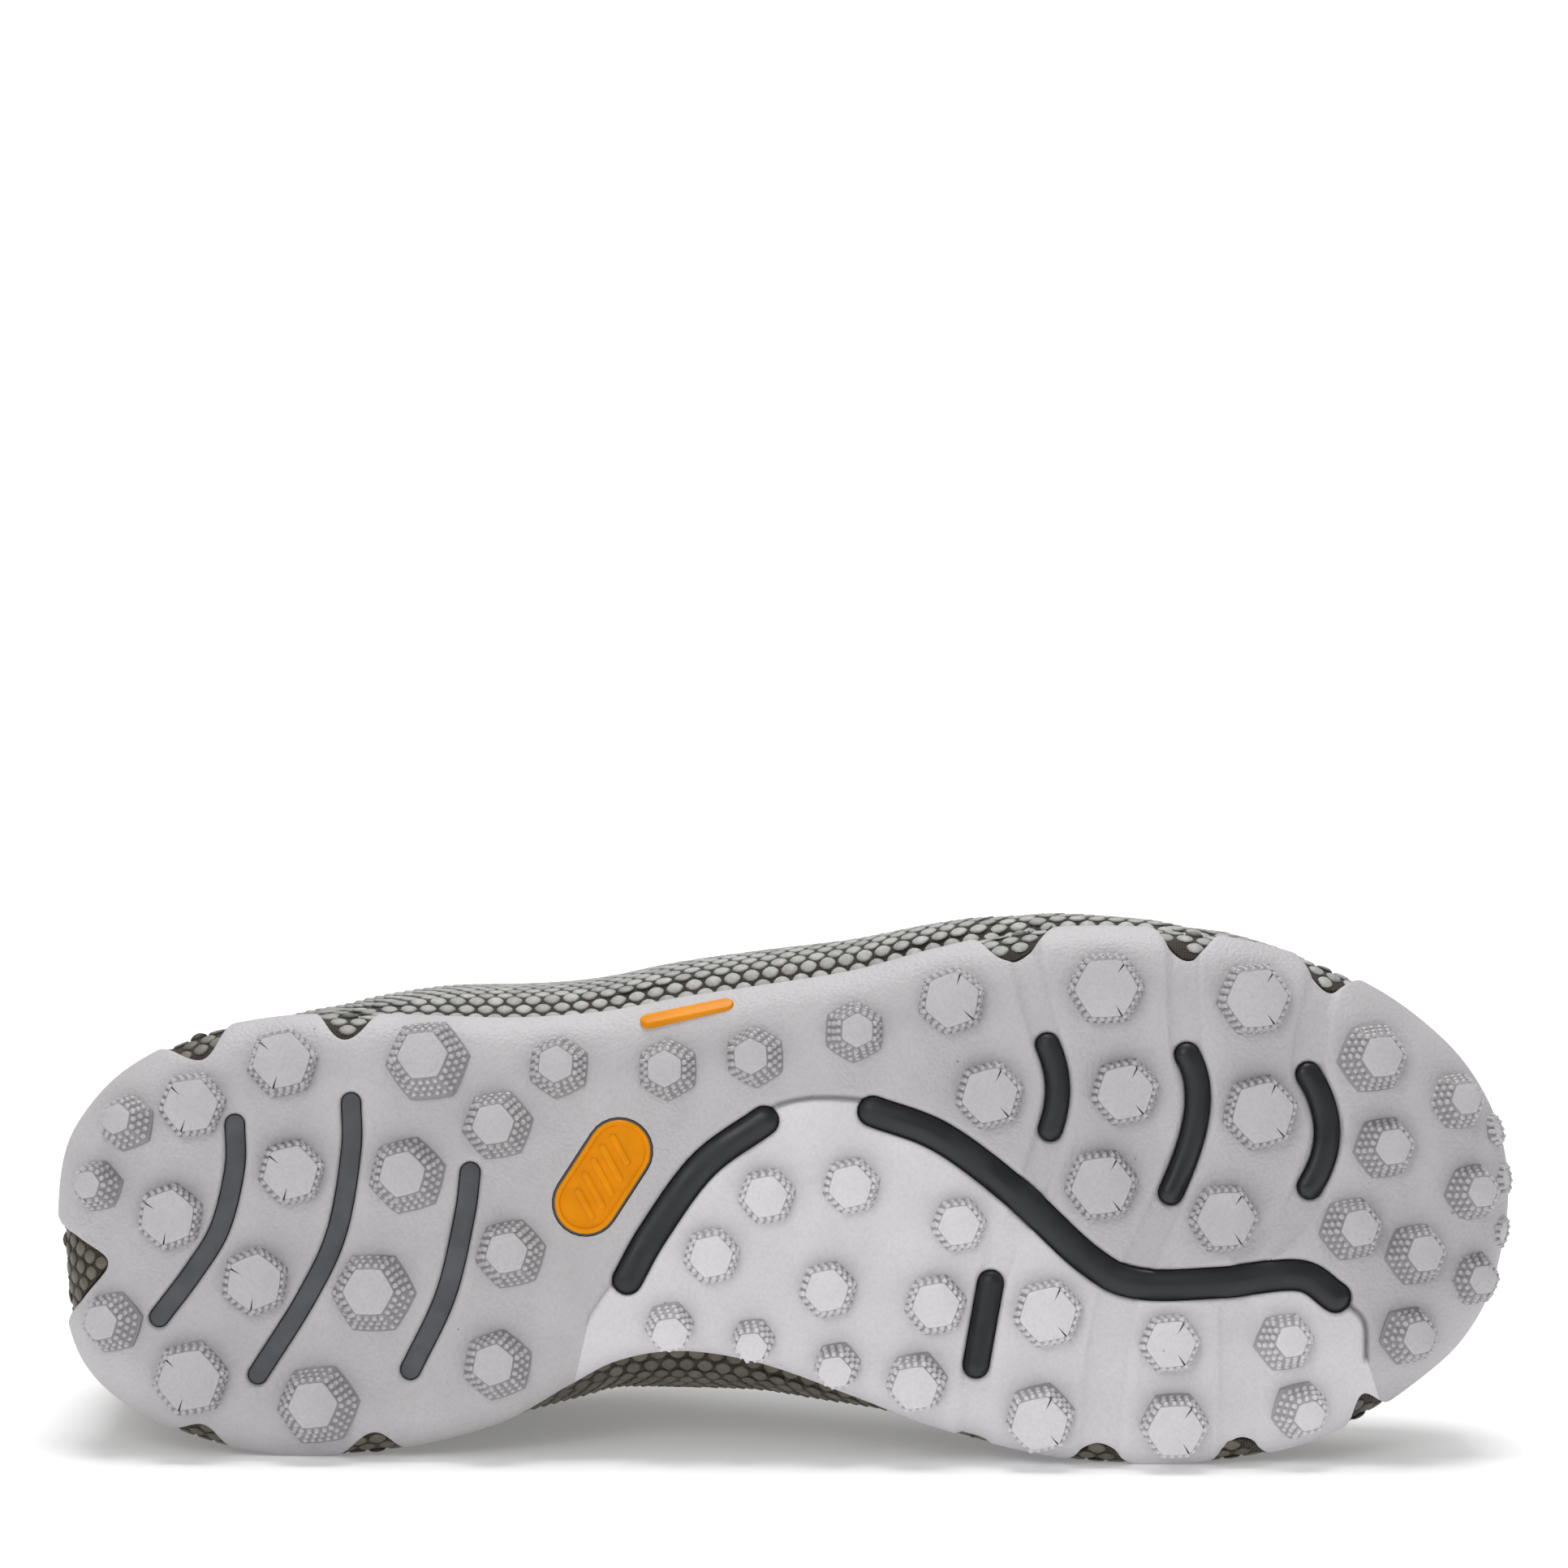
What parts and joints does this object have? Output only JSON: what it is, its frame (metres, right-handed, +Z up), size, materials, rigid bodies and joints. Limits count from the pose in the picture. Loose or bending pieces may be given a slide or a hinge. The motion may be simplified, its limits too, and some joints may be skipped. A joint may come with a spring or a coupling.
{
  "type": "trail running shoe",
  "caption": "Right trail running shoe lying on its medial side, with a lugged two-colour rubber outsole, foam midsole and a hollow low-cut knit upper with laces",
  "frame": {"origin": "bottom centre of the bounding box, on the floor that the shoe lies on", "axes": "+X from heel to toe, -Y the way the sole faces, +Z up from the floor, toward the lateral side"},
  "size_m": [0.2966, 0.1154, 0.11],
  "materials": {
    "outsole_grey": "moulded light grey rubber, fine grain",
    "outsole_white": "moulded white rubber, smooth",
    "badge": "plain orange inlay",
    "midsole": "dark grey foam",
    "insole": "black textile on foam",
    "upper": "scale-patterned grey knit",
    "eyestay": "black reinforcement",
    "tongue": "black textile",
    "laces": "woven cord"
  },
  "bodies": {
    "root": {"outsole_grey": "outsole_grey", "outsole_white": "outsole_white", "badge": "badge", "midsole": "midsole", "insole": "insole", "upper": "upper", "eyestay": "eyestay", "tongue": "tongue", "laces": "laces"}
  },
  "joints": []
}
